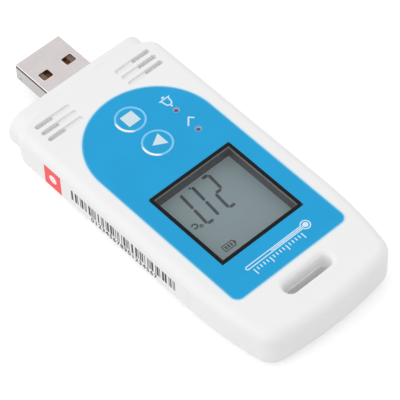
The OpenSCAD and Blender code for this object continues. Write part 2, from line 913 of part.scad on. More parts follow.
// Contact strips under the tongue; the two outer ones reach further forward
contact_w = 1;
contact_inner_x = 1;
contact_outer_x = 3.5;
contact_tail = 1.6;
contact_x = [-contact_outer_x, -contact_inner_x, contact_inner_x, contact_outer_x];

module contact(k) {
    front = (k == 0 || k == 3) ? tongue_back * 3 / 2 : tongue_back * 5 / 2;
    from = -neck_len - plug_out + front;
    color("gold") placed() translate([contact_x[k] - contact_w / 2, from, board_top])
        cube([contact_w, plug_in + contact_tail - from, contact_t]);
}

module usb_contact_1() contact(0);
module usb_contact_2() contact(1);
module usb_contact_3() contact(2);
module usb_contact_4() contact(3);

module battery_cell() {
    rim = cell_h / 16;
    color("gainsboro") placed() translate([0, window_y, cell_z]) {
        cylinder(r = cell_r, h = cell_h - rim);
        cylinder(r = cell_r - 4 * rim, h = cell_h);
    }
}

// Leaves that touch the cell's rim and its top
leaf_w = 5;
leaf_t = 0.25;
leaf_foot = 2.4;
pad_r = 4;

module positive_contact() {
    low = cell_z + cell_h / 2;
    color("goldenrod") placed() translate([-leaf_w / 2, window_y - cell_r, 0]) {
        translate([0, -leaf_t, low]) cube([leaf_w, leaf_t, board_low - low]);
        translate([0, -leaf_foot, board_low - leaf_t]) cube([leaf_w, leaf_foot, leaf_t]);
    }
}

module negative_contact() {
    color("goldenrod") placed() translate([0, window_y, cell_z + cell_h])
        cylinder(r = pad_r, h = pad_t);
}

// Disc with two lugs, a coin slot and a ring that holds the cell
module battery_lid() {
    ring_in = cell_r + cell_gap;
    color("whitesmoke") placed() translate([0, window_y, 0]) difference() {
        union() {
            translate([0, 0, lid_z]) cylinder(r = lid_r, h = lid_t);
            translate([0, 0, lid_z + lid_t / 2]) difference() {
                cylinder(r = ring_in + ring_t, h = lid_t / 2 + ring_h);
                cylinder(r = ring_in, h = lid_t / 2 + ring_h + over);
            }
            for (a = [0, 180])
                rotate([0, 0, a - lug_turn / 2 + 1]) translate([0, 0, lug_z])
                    rotate_extrude(angle = lug_turn - 2)
                        square([lid_r + lug_reach, lid_z + lid_t - lug_z]);
        }
        translate([0, 0, -over]) linear_extrude(lid_z + coin_deep + over) slot_plan(coin_len, coin_w);
    }
}

module side_label() {
    color("white") placed() translate([case_w / 2 - label_deep, label_from, label_low])
        cube([label_t, label_to - label_from, label_high - label_low]);
}

// Cross-headed screw pointing up, its head's underside at height zero
module screw(r, head_r, head_h, len) {
    slit = r / 2;
    difference() {
        union() {
            translate([0, 0, -head_h]) cylinder(r = head_r, h = head_h);
            cylinder(r = r, h = len);
        }
        for (a = [0, 90])
            rotate([0, 0, a]) translate([-head_r * 2 / 3, -slit / 2, -head_h - over])
                cube([head_r * 4 / 3, slit, over + head_h / 2]);
    }
}

module board_screws() {
    color("silver") placed() for (y = [post_plug_y, post_slot_y])
        translate([-post_x, y, board_top]) mirror([0, 0, 1])
            screw(board_screw_r, board_screw_head_r, board_screw_head_h, board_screw_len - pin_h);
}

module case_screws() {
    color("silver") placed() at_bosses() translate([0, 0, screw_sunk + screw_head_h])
        screw(screw_r, screw_head_r, screw_head_h, screw_tip - screw_sunk - screw_head_h - pin_h);
}

front_shell();
back_shell();
face_overlay();
display_window();
window_gasket();
display_frame();
lcd_front_glass();
lcd_rear_glass();
lcd_reflector();
elastomer_strip();
circuit_board();
stop_button();
start_button();
stop_plunger();
start_plunger();
stop_switch();
start_switch();
alarm_light_pipe();
ok_light_pipe();
alarm_led();
ok_led();
microcontroller();
crystal();
climate_sensor();
usb_shell();
usb_insulator();
usb_contact_1();
usb_contact_2();
usb_contact_3();
usb_contact_4();
battery_cell();
positive_contact();
negative_contact();
battery_lid();
side_label();
board_screws();
case_screws();
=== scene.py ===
import math
import random

import bmesh
import bpy
from mathutils import Matrix, Vector


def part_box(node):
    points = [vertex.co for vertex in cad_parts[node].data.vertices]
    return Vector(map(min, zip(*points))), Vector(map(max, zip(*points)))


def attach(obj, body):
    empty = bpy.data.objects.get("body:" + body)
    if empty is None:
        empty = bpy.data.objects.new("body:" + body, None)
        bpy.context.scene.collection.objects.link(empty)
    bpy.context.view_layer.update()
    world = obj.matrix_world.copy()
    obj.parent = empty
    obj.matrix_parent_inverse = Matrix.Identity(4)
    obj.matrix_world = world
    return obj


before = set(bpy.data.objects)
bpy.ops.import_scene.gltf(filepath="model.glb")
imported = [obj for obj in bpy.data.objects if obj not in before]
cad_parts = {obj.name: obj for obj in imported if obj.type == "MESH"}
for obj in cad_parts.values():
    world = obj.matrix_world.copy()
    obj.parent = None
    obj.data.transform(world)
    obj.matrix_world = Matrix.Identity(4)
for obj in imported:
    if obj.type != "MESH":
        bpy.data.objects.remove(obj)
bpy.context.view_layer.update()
scene = bpy.context.scene

# One millimetre in scene units. Prints and trims are drawn in millimetres.
MM = 0.001
# Thickness of ink and how deep its underside lies in what carries it
INK = 0.02
BITE = 0.01


def linear(red, green, blue):
    """Linear colour of sRGB values from 0 to 255."""
    shares = [value / 255 for value in (red, green, blue)]
    return [s / 12.92 if s <= 0.04045 else ((s + 0.055) / 1.055) ** 2.4 for s in shares] + [1]


def scaled(colour, share):
    """A colour made lighter or darker by share."""
    return [min(1, channel * share) for channel in colour[:3]] + [1]


class Finish:
    """A material with one Principled shader, and helpers that put nodes before it."""

    def __init__(self, name):
        self.material = bpy.data.materials.new(name)
        self.material.use_nodes = True
        self.tree = self.material.node_tree
        self.shader = self.tree.nodes["Principled BSDF"]
        self.place = self.node("ShaderNodeTexCoord").outputs["Object"]

    def node(self, kind, **settings):
        made = self.tree.nodes.new(kind)
        for name, value in settings.items():
            setattr(made, name, value)
        return made

    def feed(self, socket, value):
        if isinstance(value, bpy.types.NodeSocket):
            self.tree.links.new(value, socket)
        else:
            socket.default_value = value

    def set(self, **values):
        """Feeds shader sockets; an underscore in a name stands for a space."""
        for name, value in values.items():
            self.feed(self.shader.inputs[name.replace("_", " ")], value)
        return self

    def calc(self, operation, *values):
        made = self.node("ShaderNodeMath", operation=operation)
        for socket, value in zip(made.inputs, values):
            self.feed(socket, value)
        return made.outputs[0]

    def noise(self, size, stretch=(1, 1, 1), detail=3):
        """Noise from 0 to 1, in lumps of size millimetres that stretch makes longer."""
        mapping = self.node("ShaderNodeMapping")
        self.feed(mapping.inputs["Vector"], self.place)
        mapping.inputs["Scale"].default_value = [1 / (size * MM * s) for s in stretch]
        made = self.node("ShaderNodeTexNoise")
        self.feed(made.inputs["Vector"], mapping.outputs[0])
        made.inputs["Scale"].default_value = 1
        made.inputs["Detail"].default_value = detail
        return made.outputs["Fac"]

    def step(self, value, low, high, to_low=0, to_high=1):
        """Smooth step of value between low and high."""
        made = self.node("ShaderNodeMapRange", interpolation_type="SMOOTHSTEP")
        self.feed(made.inputs["Value"], value)
        made.inputs["From Min"].default_value = low
        made.inputs["From Max"].default_value = high
        made.inputs["To Min"].default_value = to_low
        made.inputs["To Max"].default_value = to_high
        return made.outputs[0]

    def mix(self, share, first, second):
        made = self.node("ShaderNodeMix", data_type="RGBA")
        self.feed(made.inputs["Factor"], share)
        self.feed(made.inputs[6], first)
        self.feed(made.inputs[7], second)
        return made.outputs[2]

    def paint(self, share, colour):
        """Lays a colour over the present one where share is 1."""
        present = self.shader.inputs["Base Color"].links[0].from_socket
        return self.set(Base_Color=self.mix(share, present, colour))

    def axis(self, name):
        """One coordinate of the place, in metres."""
        made = self.node("ShaderNodeSeparateXYZ")
        self.feed(made.inputs[0], self.place)
        return made.outputs[name]

    def radius_from(self, centre):
        """Distance in metres from the upright line through centre."""
        along = [self.calc("SUBTRACT", self.axis(n), c) for n, c in zip("XY", centre)]
        squares = [self.calc("MULTIPLY", a, a) for a in along]
        return self.calc("SQRT", self.calc("ADD", *squares))

    def mottled(self, colour, size, share):
        """A colour that drifts lighter and darker by share over lumps of size millimetres."""
        drift = self.step(self.noise(size), 0.3, 0.7)
        return self.mix(drift, scaled(colour, 1 - share), scaled(colour, 1 + share))

    def relief(self, height, depth, edge=0.0):
        """Bump of depth millimetres from height, on edges rounded by edge millimetres."""
        bump = self.node("ShaderNodeBump")
        bump.inputs["Distance"].default_value = depth * MM
        self.feed(bump.inputs["Height"], height)
        if edge:
            bevel = self.node("ShaderNodeBevel", samples=12)
            bevel.inputs["Radius"].default_value = edge * MM
            self.feed(bump.inputs["Normal"], bevel.outputs[0])
        return self.set(Normal=bump.outputs[0])


def plastic(name, colour, rough, grain=0.3, depth=0.004, drift=0.015, edge=0.08, specular=0.5):
    """Moulded plastic with a fine spark-eroded grain and a slight drift of colour and gloss."""
    finish = Finish(name)
    finish.shader.inputs["Specular IOR Level"].default_value = specular
    gloss = finish.step(finish.noise(6), 0.3, 0.7, rough * 0.92, rough * 1.08)
    finish.set(Base_Color=finish.mottled(colour, 9, drift), Roughness=gloss)
    return finish.relief(finish.noise(grain, detail=4), depth, edge)


def metal(name, colour, rough, stretch=(1, 1, 1), grain=0.12, depth=0.002, drift=0.04, edge=0.05):
    """Rolled or plated metal with fine lines along the stretched axis."""
    finish = Finish(name)
    lines = finish.noise(grain, stretch, detail=5)
    gloss = finish.step(lines, 0.25, 0.75, rough * 0.8, rough * 1.25)
    finish.set(Base_Color=finish.mottled(colour, 2.5, drift), Roughness=gloss)
    finish.shader.inputs["Metallic"].default_value = 1
    return finish.relief(lines, depth, edge)


def ink(name, colour, rough=0.45):
    """Printed ink whose cover is a little uneven."""
    finish = Finish(name)
    cover = finish.mottled(colour, 0.35, 0.03)
    gloss = finish.step(finish.noise(0.5), 0.3, 0.7, rough * 0.9, rough * 1.1)
    finish.set(Base_Color=cover, Roughness=gloss)
    return finish.relief(finish.noise(0.12), 0.001)


def dress(finish, *names):
    """Gives CAD nodes a finish in place of their plain material."""
    for name in names:
        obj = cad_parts[name]
        if not obj.material_slots:
            obj.data.materials.append(None)
        for slot in obj.material_slots:
            slot.link = "OBJECT"
            slot.material = finish.material


# Closed outlines in millimetres

def arc(centre, radius, start, end, steps=12):
    """Points on an arc, with its angles in degrees."""
    turns = [math.radians(start + (end - start) * k / steps) for k in range(steps + 1)]
    return [(centre[0] + radius * math.cos(t), centre[1] + radius * math.sin(t)) for t in turns]


def disc(centre, radius, steps=40):
    return arc(centre, radius, 0, 360, steps)[:-1]


def round_box(centre, width, height, radius):
    """Rectangle with rounded corners."""
    loop = []
    for start, sx, sy in ((0, 1, 1), (90, -1, 1), (180, -1, -1), (270, 1, -1)):
        corner = (centre[0] + sx * (width / 2 - radius), centre[1] + sy * (height / 2 - radius))
        loop += arc(corner, radius, start, start + 90, 6)
    return loop


def round_corners(points, radius):
    """The polygon with each corner replaced by a small curve."""
    loop = []
    for k, corner in enumerate(points):
        here = Vector(corner)
        before, after = Vector(points[k - 1]), Vector(points[(k + 1) % len(points)])
        start = here + (before - here).normalized() * radius
        end = here + (after - here).normalized() * radius
        for step in range(5):
            t = step / 4
            spot = start * (1 - t) ** 2 + here * 2 * t * (1 - t) + end * t ** 2
            loop.append((spot.x, spot.y))
    return loop


def stroke(points, width):
    """Outline of a line of that width with round ends, drawn along points."""
    left, right = [], []
    last = len(points) - 1
    for k, point in enumerate(points):
        here = Vector(point)
        ahead = Vector(points[min(k + 1, last)]) - Vector(points[max(k - 1, 0)])
        before = here - Vector(points[k - 1]) if k else ahead
        after = Vector(points[k + 1]) - here if k < last else ahead
        side = (before.normalized() + after.normalized()).normalized()
        spread = width / 2 / max(0.3, side.dot(after.normalized()))
        across = Vector((-side.y, side.x)) * spread
        left.append(tuple(here + across))
        right.append(tuple(here - across))
    start = math.degrees(math.atan2(points[1][1] - points[0][1], points[1][0] - points[0][0]))
    end = math.degrees(
        math.atan2(points[-1][1] - points[-2][1], points[-1][0] - points[-2][0]))
    first_cap = arc(points[0], width / 2, start + 90, start + 270, 6)[1:-1]
    last_cap = arc(points[-1], width / 2, end - 90, end + 90, 6)[1:-1]
    return first_cap + right + last_cap + left[::-1]


# Makers of pieces

def add(name, mesh, finish, body):
    """Puts a mesh into the scene as a piece that rides on a body."""
    obj = bpy.data.objects.new(name, mesh)
    scene.collection.objects.link(obj)
    mesh.materials.append(finish.material)
    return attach(obj, body)


def solid_from(curve, place):
    """Closed mesh of a filled curve that was drawn in millimetres, moved by place."""
    holder = bpy.data.objects.new(curve.name, curve)
    scene.collection.objects.link(holder)
    bpy.context.view_layer.update()
    shape = holder.evaluated_get(bpy.context.evaluated_depsgraph_get())
    mesh = bpy.data.meshes.new_from_object(shape)
    bpy.data.objects.remove(holder)
    bpy.data.curves.remove(curve)
    work = bmesh.new()
    work.from_mesh(mesh)
    bmesh.ops.remove_doubles(work, verts=work.verts, dist=0.0005)
    bmesh.ops.recalc_face_normals(work, faces=work.faces)
    work.transform(Matrix.Scale(MM, 4) @ place)
    work.to_mesh(mesh)
    work.free()
    mesh.materials.clear()
    return mesh


def plate(name, loops, place, finish, body, thick=INK):
    """Thin solid inside closed outlines, where a loop within a loop is a hole.

    place carries its underside's plane, in millimetres."""
    curve = bpy.data.curves.new(name, "CURVE")
    curve.dimensions = "2D"
    curve.fill_mode = "BOTH"
    half = (thick + BITE) / 2
    curve.extrude = half
    for loop in loops:
        spline = curve.splines.new("POLY")
        spline.points.add(len(loop) - 1)
        for point, (x, y) in zip(spline.points, loop):
            point.co = (x, y, 0, 1)
        spline.use_cyclic_u = True
    lift = Matrix.Translation((0, 0, half - BITE))
    return add(name, solid_from(curve, place @ lift), finish, body)


def lettering(name, words, size, place, finish, body, weight=0.0):
    """Digits as a thin solid, centred on place and made bolder by weight."""
    curve = bpy.data.curves.new(name, "FONT")
    curve.body = words
    curve.size = size
    curve.offset = weight
    curve.align_x = "CENTER"
    curve.align_y = "CENTER"
    curve.space_character = 1.25
    half = (INK + BITE) / 2
    curve.extrude = half
    lift = Matrix.Translation((0, 0, half - BITE))
    return add(name, solid_from(curve, place @ lift), finish, body)


def bead(name, loop, height, width, rise, finish, body, sides=10):
    """Closed trim of oval section that follows an outline at a height, in millimetres."""
    work = bmesh.new()
    rings = []
    for k, point in enumerate(loop):
        ahead = Vector(loop[(k + 1) % len(loop)]) - Vector(loop[k - 1])
        out = Vector((ahead.y, -ahead.x)).normalized()
        ring = []
        for side in range(sides):
            turn = 2 * math.pi * side / sides
            across = out * math.cos(turn) * width / 2
            spot = (point[0] + across.x, point[1] + across.y, height + math.sin(turn) * rise)
            ring.append(work.verts.new(Vector(spot) * MM))
        rings.append(ring)
    for k, ring in enumerate(rings):
        ahead = rings[(k + 1) % len(rings)]
        for side in range(sides):
            beside = (side + 1) % sides
            work.faces.new((ring[side], ahead[side], ahead[beside], ring[beside]))
    bmesh.ops.recalc_face_normals(work, faces=work.faces)
    mesh = bpy.data.meshes.new(name)
    work.to_mesh(mesh)
    work.free()
    mesh.shade_smooth()
    return add(name, mesh, finish, body)


def corners(node):
    """Lowest and highest corner of a CAD node, in millimetres."""
    low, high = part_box(node)
    return low / MM, high / MM


def middle_of(low, high):
    """Middle of a box, seen from above."""
    return (low.x + high.x) / 2, (low.y + high.y) / 2


def above(height):
    """Plane facing up at a height."""
    return Matrix.Translation((0, 0, height))


def below(height):
    """Plane facing down at a height, its own X along X."""
    return Matrix.Translation((0, 0, height)) @ Matrix.Rotation(math.pi, 4, "X")


# Finishes of the CAD nodes

WHITE = linear(240, 240, 240)
SLOT_Y, SLOT_REACH_X, SLOT_REACH_Y = 36.925 * MM, 7.4 * MM, 2.6 * MM


def painted_light_in_slot(finish):
    """Paints the walls of the lanyard slot lighter than the outside, as painted light that lifts
    the shade inside the slot.
    """
    along = finish.calc("ABSOLUTE", finish.axis("X"))
    across = finish.calc("ABSOLUTE", finish.calc("SUBTRACT", finish.axis("Y"), SLOT_Y))
    inside = finish.calc("MULTIPLY",
                         finish.step(along, SLOT_REACH_X, SLOT_REACH_X + 0.4 * MM, 1, 0),
                         finish.step(across, SLOT_REACH_Y, SLOT_REACH_Y + 0.6 * MM, 1, 0))
    level = finish.axis("Z")
    inside = finish.calc("MULTIPLY", inside, finish.step(level, 0.2 * MM, 0.8 * MM))
    inside = finish.calc("MULTIPLY", inside, finish.step(level, 9.6 * MM, 10.4 * MM, 1, 0))
    # Painted light: the slot's walls are drawn whiter to lift the shade inside the slot
    finish.paint(inside, linear(254, 254, 254))


shell = plastic("shell_plastic", WHITE, 0.5, drift=0.006, edge=0.14, specular=0.35)
painted_light_in_slot(shell)
dress(shell, "front_shell")

# Two printed marks on the back, beside the lid: a dot where it shuts, a ring where it opens
back = plastic("back_plastic", WHITE, 0.5, drift=0.006, edge=0.12, specular=0.35)
painted_light_in_slot(back)
PRINT_GREY = linear(120, 122, 126)
lid_middle = middle_of(*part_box("battery_lid"))
MARK_FROM_LID, MARK_R, OPEN_TURN = 14.4 * MM, 0.6 * MM, math.radians(40)
shut = (lid_middle[0], lid_middle[1] - MARK_FROM_LID)
opened = (lid_middle[0] - MARK_FROM_LID * math.sin(OPEN_TURN),
          lid_middle[1] - MARK_FROM_LID * math.cos(OPEN_TURN))
dot = back.step(back.radius_from(shut), MARK_R * 0.95, MARK_R * 1.05, 1, 0)
outer = back.step(back.radius_from(opened), MARK_R * 0.95, MARK_R * 1.05, 1, 0)
inner = back.step(back.radius_from(opened), MARK_R * 0.5, MARK_R * 0.6)
flat = back.step(back.axis("Z"), 0.02 * MM, 0.05 * MM, 1, 0)
marks = back.calc("MAXIMUM", dot, back.calc("MULTIPLY", outer, inner))
back.paint(back.calc("MULTIPLY", flat, marks), PRINT_GREY)
dress(back, "back_shell")

BLUE = linear(16, 160, 216)
dress(plastic("overlay_film", BLUE, 0.4, grain=0.09, depth=0.0015, drift=0.02, edge=0.05,
              specular=0.25), "face_overlay")

# Button caps: blue face and a pale rim, with a painted highlight: a white arc on the rim's side
# next to the label
RIM_FROM, RIM_TO = 2.86 * MM, 2.98 * MM
HIGHLIGHT_FROM, HIGHLIGHT_TO = 2.3 * MM, 3.1 * MM
for node in ("stop_button", "start_button"):
    centre = middle_of(*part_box(node))
    finish = plastic(node + "_rubber", BLUE, 0.32, grain=0.1, depth=0.0015, drift=0.02, edge=0,
                     specular=0.3)
    rim = finish.step(finish.radius_from(centre), RIM_FROM, RIM_TO)
    lean = finish.calc("MULTIPLY", finish.calc("SUBTRACT", finish.axis("Y"), centre[1]), 0.4)
    lean = finish.calc("ADD", finish.calc("SUBTRACT", finish.axis("X"), centre[0]), lean)
    # Painted highlight: the rim turns white towards +X
    painted_highlight = finish.step(lean, HIGHLIGHT_FROM, HIGHLIGHT_TO)
    finish.paint(rim, finish.mix(painted_highlight, linear(120, 204, 246), linear(246, 252, 255)))
    dress(finish, node)

# Clear window: what is behind it shows, and a weak mirror lies over its outer faces. From inside,
# the mirror would close the window at low angles.
window = Finish("window_clear")
smear = window.step(window.noise(5), 0.35, 0.65, 0.03, 0.09)
window.set(Base_Color=linear(236, 244, 246), Roughness=smear)
clear = window.node("ShaderNodeBsdfTransparent")
clear.inputs["Color"].default_value = (0.96, 0.98, 0.985, 1)
mirror = window.node("ShaderNodeBsdfGlossy")
window.feed(mirror.inputs["Roughness"], smear)
fresnel = window.node("ShaderNodeFresnel")
fresnel.inputs["IOR"].default_value = 1.25
entering = window.calc("SUBTRACT", 1, window.node("ShaderNodeNewGeometry").outputs["Backfacing"])
blend = window.node("ShaderNodeMixShader")
window.feed(blend.inputs[0], window.calc("MULTIPLY", fresnel.outputs[0], entering))
window.feed(blend.inputs[1], clear.outputs[0])
window.feed(blend.inputs[2], mirror.outputs[0])
window.feed(window.tree.nodes["Material Output"].inputs["Surface"], blend.outputs[0])
window.tree.nodes.remove(window.shader)
dress(window, "display_window")

black = plastic("border_black", linear(15, 15, 17), 0.5, grain=0.15, edge=0, specular=0.15)

# Under the window: a paler gasket, and the grey walls of the display frame
dress(plastic("gasket_foam", linear(136, 130, 129), 0.8, grain=0.12, depth=0.01, edge=0),
      "window_gasket")
dress(plastic("frame_plastic", linear(99, 96, 98), 0.6, grain=0.2, edge=0, specular=0.2),
      "display_frame")

# Display glass, with a painted glow: a weak emission that stands in for light from the reflector
# behind it and lifts the shade near the frame's walls
glass = plastic("display_polariser", linear(119, 128, 131), 0.5, grain=0.25, depth=0.0004,
                drift=0.02, edge=0, specular=0.2)
# Painted glow: the display glass is no lamp
glass.shader.inputs["Emission Color"].default_value = (0.073, 0.09, 0.095, 1)
glass.shader.inputs["Emission Strength"].default_value = 1
dress(glass, "lcd_front_glass", "lcd_rear_glass")
dress(metal("reflector_foil", linear(200, 204, 205), 0.35), "lcd_reflector")
dress(plastic("elastomer_rubber", linear(70, 70, 74), 0.7, grain=0.1), "elastomer_strip")

# Board: solder mask with lighter copper under it
board = plastic("board_mask", linear(20, 84, 52), 0.35, grain=0.1, depth=0.002)
tracks = board.node("ShaderNodeTexBrick", offset=0.5)
board.feed(tracks.inputs["Vector"], board.place)
tracks.inputs["Scale"].default_value = 1 / (1.6 * MM)
tracks.inputs["Mortar Size"].default_value = 0.08
board.paint(tracks.outputs["Fac"], linear(38, 118, 74))
dress(board, "circuit_board")

dress(plastic("plunger_black", linear(28, 28, 30), 0.4), "stop_plunger", "start_plunger")
dress(metal("switch_steel", linear(190, 190, 188), 0.3), "stop_switch", "start_switch")
dress(plastic("chip_epoxy", linear(34, 34, 36), 0.6, grain=0.12, depth=0.006), "microcontroller")
dress(plastic("sensor_body", linear(58, 58, 60), 0.5, grain=0.1), "climate_sensor")
dress(metal("crystal_can", linear(206, 206, 204), 0.22), "crystal")

# Lamps' lenses: a smoky core, off centre, in a pale edge that is a painted highlight, widest on the
# -X -Y side
CORE_OFF, CORE_R, CORE_FADE = 0.1 * MM, 0.42 * MM, 0.14 * MM
for node in ("alarm_light_pipe", "ok_light_pipe"):
    x, y = middle_of(*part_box(node))
    pipe = plastic(node + "_smoke", linear(96, 70, 96), 0.16, grain=0.4, depth=0.002, edge=0.06)
    radius = pipe.radius_from((x + CORE_OFF, y + CORE_OFF))
    # Painted highlight: the lens is pale outside its core
    pipe.paint(pipe.step(radius, CORE_R, CORE_R + CORE_FADE), linear(196, 206, 224))
    dress(pipe, node)
dress(plastic("led_epoxy", linear(226, 222, 196), 0.25), "alarm_led", "ok_led")

plug = metal("plug_nickel", linear(214, 207, 207), 0.3, stretch=(1, 14, 1), grain=0.08,
             depth=0.0012, drift=0.02, edge=0.02)
# Its sides are drawn darker as painted shade, and its rolled seam shows as a dark line along them
across = plug.calc("ABSOLUTE", plug.axis("X"))
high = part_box("usb_shell")[1]
# Painted shade: the side faces are darker than the top
plug.paint(plug.step(across, high.x - 0.12 * MM, high.x - 0.03 * MM), linear(190, 189, 187))
level = plug.axis("Z")
seam = plug.calc("MULTIPLY", plug.step(level, high.z - 0.76 * MM, high.z - 0.68 * MM),
                 plug.step(level, high.z - 0.26 * MM, high.z - 0.16 * MM, 1, 0))
seam = plug.calc("MULTIPLY", seam, plug.step(across, high.x - 0.3 * MM, high.x - 0.2 * MM))
plug.paint(seam, linear(72, 62, 60))
dress(plug, "usb_shell")

# Tongue of the plug: brown plastic, darker down in its trough
tongue = plastic("tongue_plastic", linear(112, 92, 82), 0.5, grain=0.2)
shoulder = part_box("usb_insulator")[1].z
trough = tongue.step(tongue.axis("Z"), shoulder - 0.4 * MM, shoulder - 0.2 * MM, 1, 0)
tongue.paint(trough, linear(112, 68, 38))
dress(tongue, "usb_insulator")

gold = metal("contact_gold", linear(226, 186, 110), 0.25, stretch=(1, 10, 1))
dress(gold, *["usb_contact_%d" % k for k in (1, 2, 3, 4)])
dress(metal("cell_steel", linear(205, 206, 208), 0.25, grain=0.3), "battery_cell")
dress(metal("spring_brass", linear(210, 184, 122), 0.3), "positive_contact", "negative_contact")
dress(plastic("lid_plastic", linear(236, 236, 236), 0.46, drift=0.008), "battery_lid")
dress(ink("label_paper", linear(240, 240, 240), 0.5), "side_label")
dress(metal("screw_steel", linear(176, 178, 182), 0.3), "board_screws", "case_screws")

# Prints and trims

FRONT = corners("face_overlay")[1].z
icon_ink = ink("ink_icon", linear(208, 225, 234))
pale_ink = ink("ink_pale", linear(206, 234, 248))
black_ink = ink("ink_black", linear(20, 20, 22))
red_ink = ink("ink_red", linear(249, 62, 68))

sheet_low, sheet_high = corners("face_overlay")
SHEET_CORNER = 2


def sheet_outline(inset):
    """Outline of the printed sheet, drawn in by inset, with its round end at the plug."""
    half, corner = sheet_high.x, SHEET_CORNER
    loop = arc((0, sheet_low.y + half), half - inset, 180, 360, 96)
    loop += arc((half - corner, sheet_high.y - corner), corner - inset, 0, 90)
    return loop + arc((corner - half, sheet_high.y - corner), corner - inset, 90, 180)


# Cut edge of the sheet: a clear line, and a blue one inside it
edge_clear = plastic("edge_clear", linear(206, 234, 246), 0.25, grain=0.1, depth=0.001, edge=0)
edge_blue = plastic("edge_blue", linear(96, 180, 222), 0.25, grain=0.1, depth=0.001, edge=0)
EDGE_WIDTH, INNER_EDGE_IN = 0.3, 0.27
bead("overlay_edge", sheet_outline(0), FRONT, EDGE_WIDTH, 0.04, edge_clear, "case")
bead("overlay_inner_edge", sheet_outline(INNER_EDGE_IN), FRONT, EDGE_WIDTH, 0.02, edge_blue,
     "case")

pane_low, pane_high = corners("display_window")


def window_loop(inset, radius):
    """Outline of the window, drawn in by inset."""
    size = pane_high - pane_low
    return round_box(middle_of(pane_low, pane_high), size.x - 2 * inset, size.y - 2 * inset, radius)


# Black border printed on the window
BORDER = 0.82
plate("window_border", [window_loop(0, 0.7), window_loop(BORDER, 0.12)], above(pane_high.z),
      black, "case")

# The window's inner edge below the border, drawn as a pale strip: a painted highlight that stands
# in for light on the glass's cut edge and shows as a pale line on the far sides
lip = plastic("lip_painted_highlight", linear(132, 126, 124), 0.3, grain=0.2, depth=0.002, edge=0)
plate("window_lip", [window_loop(BORDER - 0.02, 0.12), window_loop(BORDER + 0.03, 0.1)],
      above(pane_low.z), lip, "case", pane_high.z - pane_low.z - BITE)

# Icons on the buttons
x, y = middle_of(*corners("stop_button"))
plate("stop_icon", [round_box((x - 0.07, y - 0.1), 3.1, 3.1, 0.12)], above(FRONT), icon_ink,
      "stop_button")
x, y = middle_of(*corners("start_button"))
x, y = x - 0.08, y - 0.1
triangle = [(x - 1.5, y + 1.68), (x - 1.5, y - 1.68), (x + 1.42, y)]
plate("start_icon", [round_corners(triangle, 0.12)], above(FRONT), icon_ink, "start_button")

# Rings round the lamps, and a tick and a bell beside them
ring_clear = plastic("ring_clear", linear(124, 184, 222), 0.2, grain=0.2, depth=0.001, edge=0)
for lamp in ("alarm", "ok"):
    lens = middle_of(*corners(lamp + "_light_pipe"))
    bead(lamp + "_ring", disc(lens, 0.7), FRONT, 0.16, 0.06, ring_clear, "case")
    if lamp == "ok":
        x, y = lens[0] - 0.2, lens[1] - 2.85
        loops = [stroke([(x - 1.05, y + 0.05), (x - 0.3, y - 0.75), (x + 1.15, y + 0.85)], 0.34)]
    else:
        x, y = lens[0] - 0.1, lens[1] - 3.1
        bell = [(x - 1.45, y - 0.85), (x - 1, y - 0.35)] + arc((x, y + 0.45), 0.9, 180, 0, 14)
        bell += [(x + 1, y - 0.35), (x + 1.45, y - 0.85)]
        hollow = [(x - 0.83, y - 0.57), (x - 0.7, y - 0.3)] + arc((x, y + 0.45), 0.6, 180, 0, 14)
        hollow += [(x + 0.7, y - 0.3), (x + 0.83, y - 0.57)]
        loops = [bell, hollow, disc((x, y + 1.62), 0.24, 16),
                 arc((x, y - 1.05), 0.42, 180, 360, 10)]
    plate(lamp + "_mark", loops, above(FRONT), pale_ink, "case")

# A lying thermometer with its scale, where the sheet has room below the display
base_y = sheet_high.y - 4.8
bulb, tube_end, column_end = (-7.7, base_y), (7.9, base_y), 1.6
outline = arc(bulb, 1.15, 25, 335, 28) + arc(tube_end, 0.48, 270, 450, 10)
inside = arc(bulb, 0.9, 16, 344, 26) + arc(tube_end, 0.24, 270, 450, 8)
column = arc(bulb, 0.62, 12, 348, 24)
column += [(column_end, base_y - 0.12), (column_end, base_y + 0.12)]
scale = [outline, inside, column]
TICKS, TICK_PITCH, TICK_HALF = 16, 0.85, 0.13
tick_y = base_y + 0.95
for tick in range(TICKS):
    x = -5.6 + tick * TICK_PITCH
    top = tick_y + (1.5 if tick % 5 == 0 else 0.8)
    scale.append([(x - TICK_HALF, tick_y), (x + TICK_HALF, tick_y),
                  (x + TICK_HALF, top), (x - TICK_HALF, top)])
plate("scale_mark", scale, above(FRONT), pale_ink, "case")

# Display: seven-segment digits, unit and battery sign
low, high = corners("lcd_front_glass")
GLASS = high.z
display_y = middle_of(low, high)[1]
segment_ink = ink("segment_grey", linear(68, 68, 72), 0.55)
SEGMENTS = {"2": "abged", "1": "bc", "7": "abc"}
DIGIT_W, DIGIT_H, BAR, LEAN = 1.8, 9.15, 0.68, 0.09


def leaning(points, x, y):
    """Digit points moved to their place and leant to the right."""
    return [(x + px + py * LEAN, y + py) for px, py in points]


def digit(which, x, y):
    """Outlines of a digit's segments, its lower left corner at x, y."""
    mid, t, gap = DIGIT_H / 2, BAR / 2, 0.06
    w, h = DIGIT_W, DIGIT_H

    def across(level):
        left, right = gap + t * 0.2, w - gap - t * 0.2
        return [(left, level), (left + t * 0.7, level + t), (right - t * 0.7, level + t),
                (right, level), (right - t * 0.7, level - t), (left + t * 0.7, level - t)]

    def upright(side, bottom, top):
        bottom, top = bottom + gap, top - gap
        return [(side, bottom), (side + t, bottom + t), (side + t, top - t), (side, top),
                (side - t, top - t), (side - t, bottom + t)]

    shapes = {"a": across(h), "g": across(mid), "d": across(0),
              "b": upright(w, mid, h), "c": upright(w, 0, mid),
              "f": upright(0, mid, h), "e": upright(0, 0, mid)}
    return [leaning(shapes[s], x, y) for s in SEGMENTS[which]]


